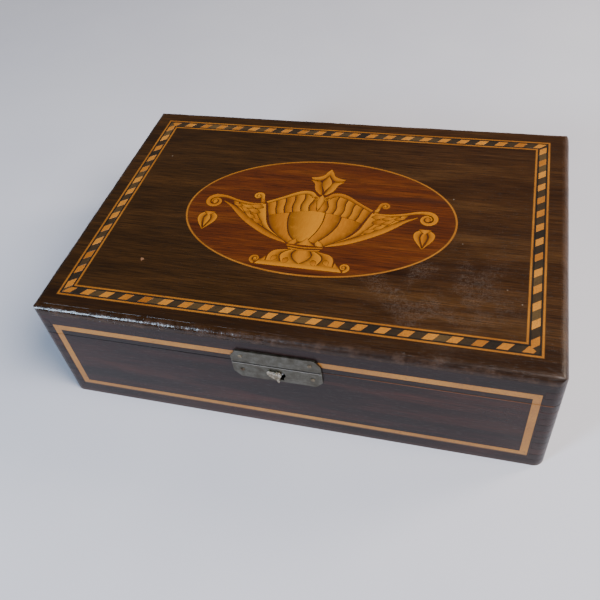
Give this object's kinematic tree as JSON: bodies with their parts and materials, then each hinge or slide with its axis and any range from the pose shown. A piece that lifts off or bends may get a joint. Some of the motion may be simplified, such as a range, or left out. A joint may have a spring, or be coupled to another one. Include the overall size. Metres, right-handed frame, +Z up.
{
  "type": "inlaid box with a hinged locking lid",
  "caption": "Rectangular wooden box with a hinged lid, banded and pictorial inlay on top, line inlay on the front, and a small lock with a two-part face plate.",
  "frame": {"origin": "middle of the underside of the closed box, on the surface it stands on", "axes": "+X to the right along the box's width, +Y from the front towards the hinges, +Z up"},
  "size_m": [0.254, 0.1803, 0.07],
  "materials": {
    "case_wood": "dark stained and French polished, worn at the edges",
    "lid_wood": "dark stained and French polished, crazed and worn at the edges",
    "bottom_wood": "plain stained board",
    "boxwood": "polished light inlay line, yellowed",
    "satinwood": "polished light lozenges",
    "ebonised": "polished dark lozenges and fillets",
    "picture_ground": "polished red-brown figured veneer",
    "picture_wood": "polished light veneer, sand shaded and engraved",
    "old_brass": "dulled, scratched plate",
    "bright_brass": "polished by handling",
    "steel": "bright where it rubs",
    "velvet": "short pile over card and wadding"
  },
  "bodies": {
    "base": {"base_front": "case_wood", "base_back": "case_wood", "base_left_end": "case_wood", "base_right_end": "case_wood", "base_bottom": "bottom_wood", "base_stringing": "boxwood", "lock_face_plate": "old_brass", "lock_case": "old_brass", "lock_key_pin": "steel", "face_plate_pins": "bright_brass", "cover_rivet": "bright_brass", "bolt_spring": "steel", "hinge_base_leaves": "old_brass", "hinge_pins": "steel", "hinge_base_screws": "bright_brass", "floor_pad": "velvet", "lining_front": "velvet", "lining_back": "velvet", "lining_left": "velvet", "lining_right": "velvet"},
    "lid": {"lid_front_rail": "case_wood", "lid_back_rail": "case_wood", "lid_left_rail": "case_wood", "lid_right_rail": "case_wood", "lid_panel": "lid_wood", "banding_outer_line": "boxwood", "banding_outer_fillet": "ebonised", "banding_light_lozenges": "satinwood", "banding_dark_lozenges": "ebonised", "banding_inner_fillet": "ebonised", "banding_inner_line": "boxwood", "oval_line": "boxwood", "oval_ground": "picture_ground", "urn_finial": "picture_wood", "urn_cover": "picture_wood", "urn_bowl": "picture_wood", "urn_left_handle": "picture_wood", "urn_right_handle": "picture_wood", "urn_left_pendant": "picture_wood", "urn_right_pendant": "picture_wood", "urn_collar": "picture_wood", "urn_foot": "picture_wood", "lid_stringing": "boxwood", "lock_hook_plate": "old_brass", "hook_plate_pins": "bright_brass", "hinge_lid_leaves": "old_brass", "hinge_lid_screws": "bright_brass", "lid_lining": "velvet"},
    "bolt": {"lock_bolt": "old_brass"},
    "cover": {"keyhole_cover": "bright_brass"}
  },
  "joints": [
    {"name": "lid_hinge", "type": "hinge", "parent": "base", "child": "lid", "pos_m": [0, 0.0886, 0.051], "axis": [-1, 0, 0], "range_deg": [0, 100]},
    {"name": "bolt_slide", "type": "slide", "parent": "base", "child": "bolt", "axis": [1, 0, 0], "range_m": [0, 0.0027]},
    {"name": "cover_swing", "type": "hinge", "parent": "base", "child": "cover", "pos_m": [-0.0012, -0.08885, 0.0463], "axis": [0, -1, 0], "range_deg": [-60, 30]}
  ]
}
